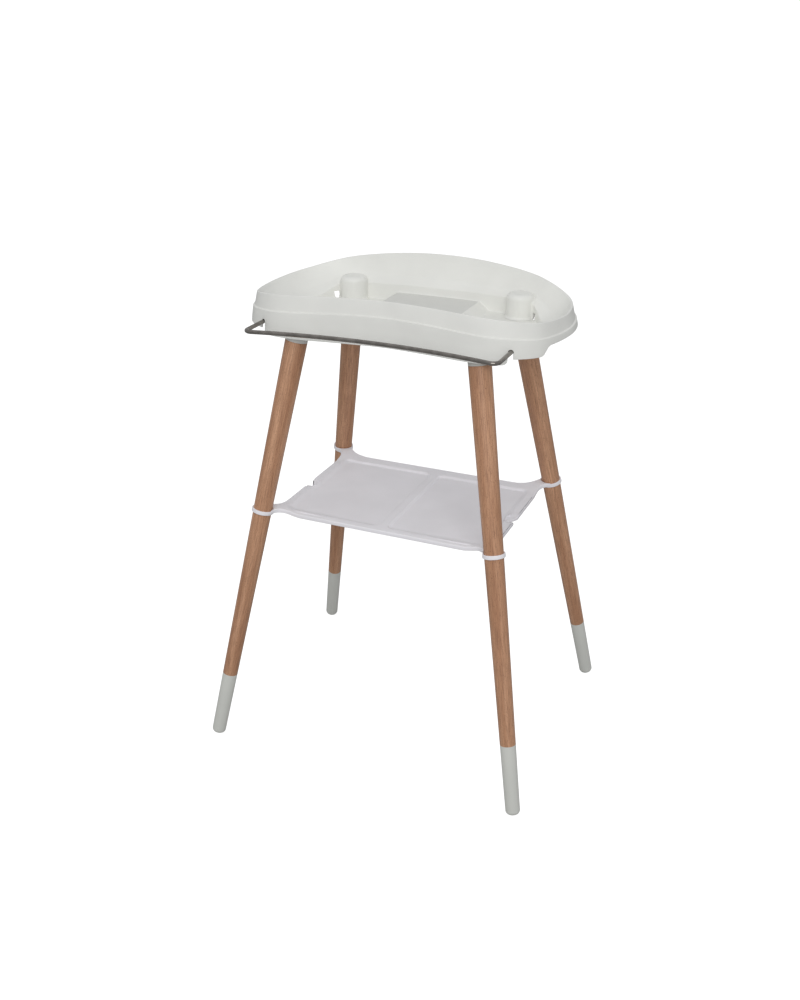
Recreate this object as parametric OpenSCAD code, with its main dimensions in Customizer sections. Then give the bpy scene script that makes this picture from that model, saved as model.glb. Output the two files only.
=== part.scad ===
// Changing table: a moulded bean-shaped tray on four splayed turned legs, with a moulded
// shelf locked between the legs and a fold-down towel rail under the tray's front edge.
// +X is the user's right, -Y is the user's side, +Z is up. The origin is on the floor,
// midway between the feet. All lengths are in millimetres.

/* [Legs] */
// Distance of each foot's centre line from the middle, left to right, at the floor
foot_x = 338; // [325:1:345]
// Distance of each foot's centre line from the middle, front to back, at the floor
foot_y = 276; // [268:1:282]
// Lean of each leg from upright, in degrees
leg_splay = 13.8; // [13.4:0.1:14.2]
// Diameter of a leg at the floor end
leg_d_foot = 28.8; // [27:0.2:31]
// Diameter of a leg at its top shoulder
leg_d_top = 43.9; // [43:0.1:44.2]
// Height of the wooden shoulder above the floor
shoulder_z = 862; // [858:1:866]

/* [Foot sleeves] */
// Length of a foot sleeve along the leg
sleeve_l = 147; // [120:1:170]
// Wall thickness of a foot sleeve
sleeve_wall = 2.4; // [1.8:0.1:3]
// Rounding of a sleeve's tip
sleeve_round = 8; // [5:0.5:10]

/* [Tray] */
// Height of the bottom edge of the tray's skirt above the floor
skirt_z = 874; // [870:1:876]
// Height of the outside ledge at the middle of the front
ledge_z = 928.5; // [925:0.5:932]
// Height of the front rim at its middle
rim_z = 961; // [955:1:966]
// Extra height of the rim at the middle of the back
rear_rise = 22; // [15:1:28]
// How far the rim dips towards the two ends
end_dip = 9; // [4:1:12]
// Radius of the gentle arch of the ledge and the rim, seen from the front
arch_r = 3250; // [2800:50:4000]
// Height of the two side floors of the basin
floor_z = 887; // [885:1:889]
// Height of the raised middle of the basin
step_z = 904; // [900:1:907]
// Height of the crease round the basin, where its wall starts to lean outwards
crease_z = 920; // [916:1:924]

/* [Shelf] */
// Half of the shelf's width
shelf_x = 233; // [228:1:236]
// Half of the shelf's depth
shelf_y = 165; // [160:1:168]
// Height of the shelf's top edge above the floor
shelf_z = 508; // [505:1:511]
// Thickness of the shelf's edge
shelf_edge = 9; // [8:0.5:11]

/* [Towel rail] */
// Diameter of the rail's rod
rail_d = 8; // [7:0.5:8]
// Height of the rail's centre line above the floor
rail_z = 897; // [896:1:898]
// Distance of each rail arm from the middle
rail_x = 250; // [249:0.5:251]
// Distance of the rail's middle in front of the origin
rail_front = 188; // [185:1:195]
// How much closer to the tray the rail's middle is than its corners
rail_bow = 29; // [20:1:34]

/* [Hidden] */
$fn = 64;
eps = 0.02;

// Colours
moulded_white = [0.86, 0.86, 0.83];
shelf_white = [0.84, 0.83, 0.86];
beech = [0.72, 0.47, 0.30];
steel = [0.45, 0.44, 0.43];
brass = [0.75, 0.62, 0.33];

// Legs: everything on a leg is placed by its distance from the floor along the leg's axis
lean_azimuth = 44.8;
// The seams of the round surfaces on a leg's axis face sideways, clear of sharp edges
seam_turn = 90;
shoulder_s = shoulder_z / cos(leg_splay);
tip_flat_r = leg_d_foot / 2 - sleeve_round;
tip_s = (sleeve_round + tip_flat_r * sin(leg_splay)) / cos(leg_splay) - sleeve_round;
sleeve_top_s = tip_s + sleeve_l;
tenon_end_s = tip_s + 14;
tenon_gap = 0.1;
bolt_r = 4;
bolt_in_wood = 45;
socket_r = 22.4;
plug_r = 21.95;
plug_top_s = 938;
socket_end_s = 939;
post_r = 27.8;
post_round = 11;
post_top_z = 935;
nut_af = 13;
nut_h = 6.5;
nut_s = socket_end_s + 0.3;
bolt_top_s = nut_s + nut_h + 1.5;

function leg_r(s) = leg_d_foot / 2 + (leg_d_top - leg_d_foot) / 2 * s / shoulder_s;
function leg_x(z) = foot_x - z * tan(leg_splay) * cos(lean_azimuth);
function leg_y(z) = foot_y - z * tan(leg_splay) * sin(lean_azimuth);

// Tray outline at the ledge: hand-chosen points of its right half, from the middle of the
// front, round the end, to the middle of the back
half_outline = [[0, -133], [92, -141], [182, -152], [246, -140], [298, -94],
    [319, 10], [294, 102], [216, 159], [110, 178], [0, 183]];
half_n = len(half_outline);
outline_points = concat(half_outline,
    [for (i = [half_n - 2:-1:1]) [-half_outline[i][0], half_outline[i][1]]]);
outline_n = len(outline_points);
span_steps = 4;

function wrap(i) = (i + outline_n) % outline_n;
// One point of the smooth closed curve through the outline's points
function spline_point(a, b, c, d, t) =
    0.5 * (2 * b + (c - a) * t + (2 * a - 5 * b + 4 * c - d) * t * t
        + (3 * b - a - 3 * c + d) * t * t * t);
outline = [for (i = [0:outline_n - 1], k = [0:span_steps - 1])
    spline_point(outline_points[wrap(i - 1)], outline_points[i],
        outline_points[wrap(i + 1)], outline_points[wrap(i + 2)], k / span_steps)];
stations = len(outline);
// Outward direction at each station
outward = [for (i = [0:stations - 1])
    let (t = outline[(i + 1) % stations] - outline[(i + stations - 1) % stations])
        [t[1], -t[0]] / norm(t)];
// Towards the two ends the basin's wall reaches further in and its crease runs lower
end_from = 210;
end_over = 80;
end_inset = 20;
crease_drop = 22;
rim_inside = 12;
crease_inside = 42;
function ease(t) = t <= 0 ? 0 : t >= 1 ? 1 : t * t * (3 - 2 * t);
function end_share(x) = ease((abs(x) - end_from) / end_over);
function extra_inset(x, d) =
    end_inset * end_share(x) * max(0, (-d - rim_inside) / (crease_inside - rim_inside));
function offset_curve(d) = [for (i = [0:stations - 1])
    outline[i] + outward[i] * (d - extra_inset(outline[i][0], d))];

// Heights over the tray's plan: the arch seen from the front, and the rim's own line
arch_k = 1 / (2 * arch_r);
tray_front = 152;
// The rear rise fades out this far from the middle, and over this depth each side of it
rise_half_w = 280;
rise_y = 90;
function arch(x) = x * x * arch_k;
// Its argument where that is positive and 0 where it is negative, with a soft change between
function soft_floor(t) = (t + sqrt(t * t + 0.01)) / 2;
function rim_line(x, y) = rim_z - arch(x) - end_dip * max(0, 1 - pow(y / tray_front, 2))
    + rear_rise * soft_floor(1 - pow(x / rise_half_w, 2)) * ease((y + rise_y) / (2 * rise_y));
function ledge_line(x) = ledge_z - arch(x);
function crease_line(x) = crease_z - crease_drop * end_share(x);

// The tray wall's section, as [distance outside the outline, height, what the height is
// measured from: 0 the ground, 1 the ledge, 2 the rim, or 3 for a share of the way from
// the crease up to the rim]
wall_section = [
    [6, skirt_z, 0], [1, -6, 1], [0.4, -0.8, 1], [-1.8, 0.6, 1], [-7.6, -4, 2],
    [-8.4, -1.2, 2], [-9.8, 0, 2], [-11.6, -1.4, 2], [-15, 0.8, 3], [-20, 0.56, 3],
    [-27, 0.28, 3], [-35, 0.07, 3], [-42, 0, 3], [-43, floor_z, 0],
    [-43, floor_z - 3, 0], [-40, floor_z - 3, 0], [-39, -0.05, 3],
    [-34, -0.01, 3], [-24.7, 0.23, 3], [-17.3, 0.51, 3], [-12.4, 0.74, 3],
    [-10.4, -6, 2], [-4.6, -1.6, 1], [-2, -6.8, 1], [3, skirt_z, 0]];
section_n = len(wall_section);
function section_z(p, x, y) =
    p[2] == 0 ? p[1] : p[2] == 1 ? ledge_line(x) + p[1] :
    p[2] == 2 ? rim_line(x, y) + p[1] :
    crease_line(x) + p[1] * (rim_line(x, y) - crease_line(x));

// Basin floor, raised middle and hand slots
floor_t = 3;
step_half_w = 90;
step_slope_w = 22;
hand_slot_l = 34;
hand_slot_w = 17;
hand_slot_at = [226, 107];
hand_slot_turn = -36;
hand_slot_top = 901;

// Skirt cut-outs: shallower ends and rear corners, and the two arm slots
end_skirt_z = 884;
end_cut_z = 901;
end_cut_x = 298;
rear_cut_x = 204;
skirt_inside = -14;
arm_gap = 0.7;

// Rail
rail_r = rail_d / 2;
rail_corner_r = 12;
pivot_y = -127;
pivot_corner_r = 9;
pivot_l = 22;
// The swept rod reaches this far into each pivot pin
pivot_lap = 3;
rod_sides = 16;
rod_fit = 0.985;
bow_half = rail_x - rail_corner_r;
bow_r = (rail_x * rail_x + rail_bow * rail_bow) / (2 * rail_bow);
bow_cy = -rail_front - bow_r;
corner_y = bow_cy + sqrt(pow(bow_r + rail_corner_r, 2) - bow_half * bow_half);
bow_half_angle = asin(bow_half / (bow_r + rail_corner_r));

// Rail bearings
bearing_x0 = 214;
bearing_l = 22;
bearing_y0 = -137;
bearing_y1 = -114;
bearing_z0 = 890;
bearing_z1 = 908;
bearing_clear = 0.06;
boss_y1 = -117.5;
boss_z1 = 924;
screw_y = -119;
screw_r = 1.6;
screw_head_r = 3.2;
screw_head_h = 2.2;
screw_l = 26;

// Shelf
ring_z0 = 510;
ring_z1 = 520;
ring_wall = 3.2;
ring_clear = 0.3;
web_r = 30;
pan_t = 3;
pan_depth = 5;
pan_front = 13;
pan_back = 27;
pan_side = 15;
pan_mid = 8;
pan_corner_r = 16;
// The notch in each side has a square front face and slopes out towards the back
side_notch_y = -21;
side_notch_l = 26;
side_notch_d = 12;

// ---- Placing ----

// Puts its children on a leg's axis, which runs up from the floor and leans inwards
module on_leg(side, end) {
    translate([side * foot_x, end * foot_y, 0])
        rotate([0, leg_splay, atan2(-end * sin(lean_azimuth), -side * cos(lean_azimuth))])
            rotate([0, 0, seam_turn])
                children();
}

module at_s(s) {
    translate([0, 0, s]) children();
}

// Mirrors its children for the left-hand side
module on_side(side) {
    if (side < 0) mirror([1, 0, 0]) children();
    else children();
}

// ---- Legs ----

module leg(side, end) {
    color(beech) on_leg(side, end) difference() {
        union() {
            at_s(sleeve_top_s)
                cylinder(h = shoulder_s - sleeve_top_s,
                    r1 = leg_r(sleeve_top_s), r2 = leg_r(shoulder_s));
            at_s(tenon_end_s)
                cylinder(h = sleeve_top_s - tenon_end_s + eps,
                    r1 = leg_r(tenon_end_s) - sleeve_wall - tenon_gap,
                    r2 = leg_r(sleeve_top_s) - sleeve_wall - tenon_gap);
        }
        at_s(shoulder_s - bolt_in_wood) cylinder(h = bolt_in_wood + 1, r = bolt_r + bearing_clear);
    }
}

module foot_sleeve(side, end) {
    color(moulded_white) on_leg(side, end) difference() {
        union() {
            at_s(tip_s + sleeve_round)
                cylinder(h = sleeve_l - sleeve_round,
                    r1 = leg_r(tip_s + sleeve_round), r2 = leg_r(sleeve_top_s));
            at_s(tip_s + sleeve_round) rotate_extrude() intersection() {
                union() {
                    translate([leg_r(tip_s + sleeve_round) - sleeve_round, 0])
                        circle(sleeve_round);
                    translate([0, -sleeve_round])
                        square([leg_r(tip_s + sleeve_round) - sleeve_round, 2 * sleeve_round]);
                }
                translate([0, -sleeve_round]) square([leg_d_foot, sleeve_round + eps]);
            }
        }
        at_s(tenon_end_s - 0.5)
            cylinder(h = sleeve_top_s - tenon_end_s + 1.5,
                r1 = leg_r(tenon_end_s) - sleeve_wall,
                r2 = leg_r(sleeve_top_s + 1) - sleeve_wall);
    }
}

// Moulded plug between a leg's shoulder and the tray's socket
module leg_plug(side, end) {
    color(moulded_white) on_leg(side, end) difference() {
        at_s(shoulder_s) cylinder(h = plug_top_s - shoulder_s, r = plug_r);
        at_s(shoulder_s - 1)
            cylinder(h = plug_top_s - shoulder_s + 2, r = bolt_r + bearing_clear);
    }
}

// Double-ended bolt: its lower half is screwed into the leg, its upper end into the nut
module hanger_bolt(side, end) {
    color(steel) on_leg(side, end)
        at_s(shoulder_s - bolt_in_wood + 0.5)
            cylinder(h = bolt_top_s - shoulder_s + bolt_in_wood - 0.5, r = bolt_r);
}

module captive_nut(side, end) {
    color(brass) on_leg(side, end) at_s(nut_s) difference() {
        cylinder(h = nut_h, r = nut_af / sqrt(3), $fn = 6);
        translate([0, 0, -1]) cylinder(h = nut_h + 2, r = bolt_r + bearing_clear);
    }
}

// ---- Tray ----

// The rolled wall: skirt, ledge, rim and basin side, as one closed band round the outline
module tray_wall() {
    points = [for (p = wall_section) let (ring = offset_curve(p[0]))
        for (q = ring) [q[0], q[1], section_z(p, q[0], q[1])]];
    faces = [for (j = [0:section_n - 1], i = [0:stations - 1])
        let (a = j * stations + i, b = j * stations + (i + 1) % stations,
            c = ((j + 1) % section_n) * stations + (i + 1) % stations,
            d = ((j + 1) % section_n) * stations + i)
            for (f = [[a, d, b], [b, d, c]]) f];
    polyhedron(points, faces);
}

module basin_floor() {
    difference() {
        translate([0, 0, floor_z - floor_t]) linear_extrude(floor_t)
            polygon(offset_curve(-41.5));
        translate([0, 0, floor_z - floor_t - 1]) linear_extrude(floor_t + 2)
            square([2 * step_half_w, 400], center = true);
    }
}

// Raised middle of the basin, sloping down to the side floors
module basin_step() {
    run = step_half_w + step_slope_w;
    intersection() {
        rotate([90, 0, 0]) translate([0, 0, -200]) linear_extrude(400)
            polygon([[-run, floor_z - floor_t], [-run, floor_z], [-step_half_w, step_z],
                [step_half_w, step_z], [run, floor_z], [run, floor_z - floor_t],
                [run - 2, floor_z - floor_t], [step_half_w - 1, step_z - floor_t],
                [1 - step_half_w, step_z - floor_t], [2 - run, floor_z - floor_t]]);
        translate([0, 0, floor_z - floor_t]) linear_extrude(step_z)
            polygon(offset_curve(-41.5));
    }
}

// Round-topped upright socket post over each leg
module socket_post(side, end) {
    middle_z = 898;
    base_z = floor_z - floor_t;
    round_z = post_top_z - post_round;
    translate([side * leg_x(middle_z), end * leg_y(middle_z), 0]) rotate_extrude() union() {
        translate([0, base_z]) square([post_r, round_z - base_z]);
        translate([0, base_z]) square([post_r - post_round, post_top_z - base_z]);
        translate([post_r - post_round, round_z]) circle(post_round);
    }
}

module socket_bore() {
    at_s(socket_end_s - 70) cylinder(h = 70, r = socket_r);
    at_s(socket_end_s - eps) cylinder(h = nut_h + 0.6, r = (nut_af + 0.4) / sqrt(3), $fn = 6);
    at_s(socket_end_s) cylinder(h = bolt_top_s - socket_end_s + 1, r = bolt_r + 0.3);
}

module hand_slot() {
    reach = (hand_slot_l - hand_slot_w) / 2;
    translate([hand_slot_at[0], hand_slot_at[1], floor_z - floor_t - 1])
        rotate([0, 0, hand_slot_turn]) linear_extrude(hand_slot_top - floor_z + floor_t + 1) union() {
            square([2 * reach, hand_slot_w], center = true);
            for (k = [-1, 1]) translate([k * reach, 0]) circle(hand_slot_w / 2);
        }
}

module arm_slot() {
    slot_w = rail_d + 2 * arm_gap;
    translate([rail_x - slot_w / 2, -tray_front - 20, skirt_z - 20])
        cube([slot_w, 37, rail_z - skirt_z + 20]);
    translate([rail_x, -tray_front + 17, rail_z])
        rotate([90, 0, 0]) cylinder(h = 37, r = slot_w / 2);
}

// Boss inside the skirt that a rail bearing is screwed up to
module bearing_boss() {
    translate([bearing_x0, bearing_y0, bearing_z1])
        cube([bearing_l, boss_y1 - bearing_y0, boss_z1 - bearing_z1]);
}

// Everything that shortens the skirt: the low ends, and the step up beyond each corner
module skirt_cuts() {
    low = skirt_z - 10;
    translate([rail_x, -300, low]) cube([120, 600, end_skirt_z - low]);
    translate([end_cut_x, -300, low]) cube([80, 600, end_cut_z - low]);
    difference() {
        translate([rear_cut_x, 0, low]) cube([160, 300, end_cut_z - low]);
        translate([0, 0, low - 1]) linear_extrude(end_cut_z - low + 2)
            polygon(offset_curve(skirt_inside));
    }
}

module tray() {
    color(moulded_white) difference() {
        union() {
            tray_wall();
            basin_floor();
            basin_step();
            for (side = [-1, 1], end = [-1, 1]) socket_post(side, end);
            for (side = [-1, 1]) on_side(side) bearing_boss();
        }
        for (side = [-1, 1], end = [-1, 1]) on_leg(side, end) socket_bore();
        for (side = [-1, 1]) on_side(side) {
            hand_slot();
            arm_slot();
            skirt_cuts();
            bearing_screw_hole();
        }
    }
}

// ---- Shelf ----

// One quarter of the shelf's plan: a corner that sweeps out into the ring round the leg
module shelf_quarter(ring) {
    fx = ring[0] - sqrt(pow(web_r + ring[2], 2) - pow(shelf_y + web_r - ring[1], 2));
    fy = ring[1] - sqrt(pow(web_r + ring[2], 2) - pow(shelf_x + web_r - ring[0], 2));
    difference() {
        polygon([[-1, -1], [-1, shelf_y], [fx, shelf_y], [fx, shelf_y + web_r],
            [ring[0], ring[1]], [shelf_x + web_r, fy], [shelf_x, fy], [shelf_x, -1]]);
        translate([fx, shelf_y + web_r]) circle(web_r);
        translate([shelf_x + web_r, fy]) circle(web_r);
    }
}

module shelf_plan() {
    z = (ring_z0 + ring_z1) / 2;
    ring = [leg_x(z), leg_y(z), leg_r(z / cos(leg_splay)) + ring_wall];
    for (sx = [0, 1], sy = [0, 1])
        mirror([sx, 0]) mirror([0, sy]) shelf_quarter(ring);
}

// One shallow pan of the shelf's top
module shelf_pan() {
    w = shelf_x - pan_side - pan_mid;
    d = 2 * shelf_y - pan_front - pan_back;
    translate([pan_mid, -shelf_y + pan_front, shelf_z - pan_depth]) linear_extrude(20) union() {
        translate([pan_corner_r, 0]) square([w - 2 * pan_corner_r, d]);
        translate([0, pan_corner_r]) square([w, d - 2 * pan_corner_r]);
        for (x = [pan_corner_r, w - pan_corner_r], y = [pan_corner_r, d - pan_corner_r])
            translate([x, y]) circle(pan_corner_r);
    }
}

// Hollow underside that leaves a lip round the shelf's edge
module shelf_under() {
    lip = 4;
    translate([lip, -shelf_y + lip, shelf_z - shelf_edge - 1])
        cube([shelf_x - 2 * lip - 14, 2 * shelf_y - 2 * lip, shelf_edge - pan_depth - pan_t + 1]);
}

module side_notch() {
    past = side_notch_l / side_notch_d;
    translate([shelf_x, side_notch_y, shelf_z - shelf_edge - 1]) linear_extrude(shelf_edge + 2)
        polygon([[-side_notch_d, 0], [1, 0], [1, side_notch_l + past]]);
}

module shelf() {
    color(shelf_white) difference() {
        union() {
            translate([0, 0, shelf_z - shelf_edge]) linear_extrude(shelf_edge) shelf_plan();
            for (side = [-1, 1], end = [-1, 1]) on_leg(side, end)
                at_s(ring_z0 / cos(leg_splay) - 8)
                    cylinder(h = (ring_z1 - ring_z0) / cos(leg_splay) + 8,
                        r = leg_r(ring_z1 / cos(leg_splay)) + ring_wall);
        }
        for (side = [-1, 1]) on_side(side) {
            shelf_pan();
            shelf_under();
            side_notch();
        }
        for (side = [-1, 1], end = [-1, 1]) on_leg(side, end)
            at_s(ring_z0 - 40) cylinder(h = 100,
                r1 = leg_r(ring_z0 - 40) + ring_clear, r2 = leg_r(ring_z0 + 60) + ring_clear);
    }
}

// ---- Towel rail ----

// Points along a bend of the rod, from one angle to another
function bend(cx, cy, radius, from, to, steps) = [for (k = [0:steps])
    let (a = from + (to - from) * k / steps) [cx + radius * cos(a), cy + radius * sin(a)]];

// The rod's centre line in plan, from the middle of the front to the right pivot
rail_half_path = concat(
    bend(0, bow_cy, bow_r, 90, 90 - bow_half_angle, 10),
    bend(bow_half, corner_y, rail_corner_r, -90 - bow_half_angle, 0, 7),
    bend(rail_x - pivot_corner_r, pivot_y - pivot_corner_r, pivot_corner_r, 0, 90, 6),
    [[rail_x - pivot_corner_r - pivot_lap, pivot_y]]);
half_path_n = len(rail_half_path);
rail_path = concat(
    [for (i = [half_path_n - 1:-1:1]) [-rail_half_path[i][0], rail_half_path[i][1]]],
    rail_half_path);
path_n = len(rail_path);
// Direction across the rod, in plan, at each point of its path
rail_across = [for (i = [0:path_n - 1])
    let (t = rail_path[min(i + 1, path_n - 1)] - rail_path[max(i - 1, 0)])
        [-t[1], t[0]] / norm(t)];

// The bent rod as one swept tube, without its two pivot pins
module rail_tube() {
    points = [for (i = [0:path_n - 1], k = [0:rod_sides - 1])
        let (a = 360 * k / rod_sides, c = rod_fit * rail_r * cos(a))
            [rail_path[i][0] + rail_across[i][0] * c,
                rail_path[i][1] + rail_across[i][1] * c, rod_fit * rail_r * sin(a)]];
    sides = [for (i = [0:path_n - 2], k = [0:rod_sides - 1])
        let (a = i * rod_sides + k, b = i * rod_sides + (k + 1) % rod_sides)
            for (f = [[a, a + rod_sides, b], [b, a + rod_sides, b + rod_sides]]) f];
    first = [for (k = [0:rod_sides - 1]) k];
    last = [for (k = [rod_sides - 1:-1:0]) (path_n - 1) * rod_sides + k];
    polyhedron(points, concat(sides, [first, last]));
}

module towel_rail() {
    color(steel) translate([0, 0, rail_z]) union() {
        rail_tube();
        for (side = [-1, 1]) on_side(side)
            translate([rail_x - pivot_corner_r, pivot_y, 0]) rotate([0, -90, 0])
                cylinder(h = pivot_l, r = rail_r);
    }
}

// Bearing block that carries one of the rail's turned-in ends
module rail_bearing(side) {
    color(moulded_white) on_side(side) difference() {
        translate([bearing_x0, bearing_y0, bearing_z0])
            cube([bearing_l, bearing_y1 - bearing_y0, bearing_z1 - bearing_z0]);
        translate([bearing_x0 - 1, pivot_y, rail_z]) rotate([0, 90, 0])
            cylinder(h = bearing_l + 2, r = rail_r + bearing_clear);
        bearing_screw_hole();
    }
}

module bearing_screw_hole() {
    translate([bearing_x0 + bearing_l / 2, screw_y, bearing_z0 - 1])
        cylinder(h = screw_l + 2, r = screw_r + bearing_clear);
}

module bearing_screws() {
    color(steel) for (side = [-1, 1]) on_side(side)
        translate([bearing_x0 + bearing_l / 2, screw_y, bearing_z0]) {
            cylinder(h = screw_l, r = screw_r);
            translate([0, 0, -screw_head_h]) cylinder(h = screw_head_h, r = screw_head_r);
        }
}

tray();
leg(-1, -1);  // leg_front_left
leg(1, -1);  // leg_front_right
leg(-1, 1);  // leg_rear_left
leg(1, 1);  // leg_rear_right
foot_sleeve(-1, -1);  // foot_sleeve_front_left
foot_sleeve(1, -1);  // foot_sleeve_front_right
foot_sleeve(-1, 1);  // foot_sleeve_rear_left
foot_sleeve(1, 1);  // foot_sleeve_rear_right
leg_plug(-1, -1);  // leg_plug_front_left
leg_plug(1, -1);  // leg_plug_front_right
leg_plug(-1, 1);  // leg_plug_rear_left
leg_plug(1, 1);  // leg_plug_rear_right
hanger_bolt(-1, -1);  // hanger_bolt_front_left
hanger_bolt(1, -1);  // hanger_bolt_front_right
hanger_bolt(-1, 1);  // hanger_bolt_rear_left
hanger_bolt(1, 1);  // hanger_bolt_rear_right
captive_nut(-1, -1);  // captive_nut_front_left
captive_nut(1, -1);  // captive_nut_front_right
captive_nut(-1, 1);  // captive_nut_rear_left
captive_nut(1, 1);  // captive_nut_rear_right
shelf();
towel_rail();
rail_bearing(-1);  // rail_bearing_left
rail_bearing(1);  // rail_bearing_right
bearing_screws();
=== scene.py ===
"""The looks of a changing table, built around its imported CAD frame.

A moulded bean-shaped tray stands on four splayed beech legs with moulded foot sleeves. A
moulded shelf is locked between the legs, and a steel towel rail folds down under the
tray's front edge. Lengths are in metres, and MM turns a size in millimetres into metres.
+X is the user's right, -Y the user's side and +Z up, as in the CAD frame.
"""

from math import asin, atan2, cos, exp, hypot, pi, radians, sin, sqrt, tan

import bmesh
import bpy
import numpy as np
from mathutils import Matrix, Vector
from mathutils.bvhtree import BVHTree
from mathutils.geometry import delaunay_2d_cdt


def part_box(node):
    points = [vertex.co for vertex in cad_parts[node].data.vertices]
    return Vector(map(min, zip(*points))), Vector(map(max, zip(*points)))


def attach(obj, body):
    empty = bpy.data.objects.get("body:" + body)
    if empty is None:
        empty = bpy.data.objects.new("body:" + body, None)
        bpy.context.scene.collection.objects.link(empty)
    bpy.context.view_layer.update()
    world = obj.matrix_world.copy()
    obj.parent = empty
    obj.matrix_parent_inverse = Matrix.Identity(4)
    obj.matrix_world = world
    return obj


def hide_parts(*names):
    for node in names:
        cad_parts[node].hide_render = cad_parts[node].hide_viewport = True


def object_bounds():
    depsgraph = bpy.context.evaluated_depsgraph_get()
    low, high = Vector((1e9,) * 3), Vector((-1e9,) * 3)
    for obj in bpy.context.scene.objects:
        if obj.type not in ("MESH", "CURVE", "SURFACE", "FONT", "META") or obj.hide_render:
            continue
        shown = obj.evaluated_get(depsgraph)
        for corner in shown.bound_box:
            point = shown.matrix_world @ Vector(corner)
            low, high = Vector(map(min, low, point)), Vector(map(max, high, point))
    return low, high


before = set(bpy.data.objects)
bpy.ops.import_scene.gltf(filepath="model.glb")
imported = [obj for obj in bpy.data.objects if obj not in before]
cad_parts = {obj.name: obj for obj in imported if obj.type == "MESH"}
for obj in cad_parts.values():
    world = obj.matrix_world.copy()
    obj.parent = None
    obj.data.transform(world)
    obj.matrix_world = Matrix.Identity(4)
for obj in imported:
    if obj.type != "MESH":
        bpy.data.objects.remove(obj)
cad_low, cad_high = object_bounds()

MM = 0.001
SIDES = (("left", -1), ("right", 1))
ENDS = (("front", -1), ("rear", 1))
LEGS = [f"{end}_{side}" for end, _ in ENDS for side, _ in SIDES]


# ---------------------------------------------------------------- camera, light, floor

CAMERA_PLACE = Vector((0.8338, -1.9777, 1.5018))
CAMERA_AZIMUTH = radians(23.47)
CAMERA_PITCH = radians(24.95)
CAMERA_LENS = 40.64
FLOOR_RADIUS = 120.0
# How much brighter the floor looks to the camera than it is, and how bright the
# surroundings are as light on the object and as the camera sees them
FLOOR_GLOW = 0.85
WORLD_LIGHT = 0.55
WORLD_SEEN = 1.05
SCENE_CENTRE = Vector((0, 0, (cad_low.z + cad_high.z) / 2))


def towards(azimuth, elevation):
    """The unit direction from the object to a place at this azimuth and elevation."""
    return Vector((sin(azimuth) * cos(elevation), -cos(azimuth) * cos(elevation), sin(elevation)))


def make_camera():
    data = bpy.data.cameras.new("camera")
    data.lens = CAMERA_LENS
    data.clip_end = 4 * FLOOR_RADIUS
    camera = bpy.data.objects.new("camera", data)
    camera.location = CAMERA_PLACE
    camera.rotation_mode = "QUATERNION"
    camera.rotation_quaternion = (-towards(CAMERA_AZIMUTH, CAMERA_PITCH)).to_track_quat("-Z", "Y")
    bpy.context.scene.collection.objects.link(camera)
    bpy.context.scene.camera = camera


def soft_light(name, azimuth, elevation, distance, size, watts):
    """A square softbox that faces the middle of the object."""
    data = bpy.data.lights.new(name, "AREA")
    data.size = size
    data.energy = watts
    light = bpy.data.objects.new(name, data)
    direction = towards(radians(azimuth), radians(elevation))
    light.location = SCENE_CENTRE + direction * distance
    light.rotation_mode = "QUATERNION"
    light.rotation_quaternion = (-direction).to_track_quat("-Z", "Y")
    bpy.context.scene.collection.objects.link(light)


def make_world():
    """Pale even surroundings, which light the object less than they look to the camera."""
    world = bpy.data.worlds.new("studio")
    world.use_nodes = True
    tree = world.node_tree
    background = tree.nodes["Background"]
    background.inputs["Color"].default_value = (0.97, 0.98, 1.0, 1)
    seen = tree.nodes.new("ShaderNodeLightPath").outputs["Is Camera Ray"]
    strength = tree.nodes.new("ShaderNodeMapRange")
    strength.inputs["To Min"].default_value = WORLD_LIGHT
    strength.inputs["To Max"].default_value = WORLD_SEEN
    tree.links.new(seen, strength.inputs["Value"])
    tree.links.new(strength.outputs["Result"], background.inputs["Strength"])
    bpy.context.scene.world = world


def make_lights():
    soft_light("key", azimuth=19, elevation=36, distance=4.6, size=3.2, watts=77)
    soft_light("top", azimuth=0, elevation=84, distance=2.8, size=2.6, watts=4)
    make_world()
    bpy.context.scene.view_settings.view_transform = "Standard"


# ---------------------------------------------------------------- materials

def linear(red, green, blue):
    """A colour given in 0 to 255 screen values, as the linear RGBA that a shader takes."""
    parts = [c / 255 for c in (red, green, blue)]
    return [c / 12.92 if c <= 0.04045 else ((c + 0.055) / 1.055) ** 2.4 for c in parts] + [1]


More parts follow.
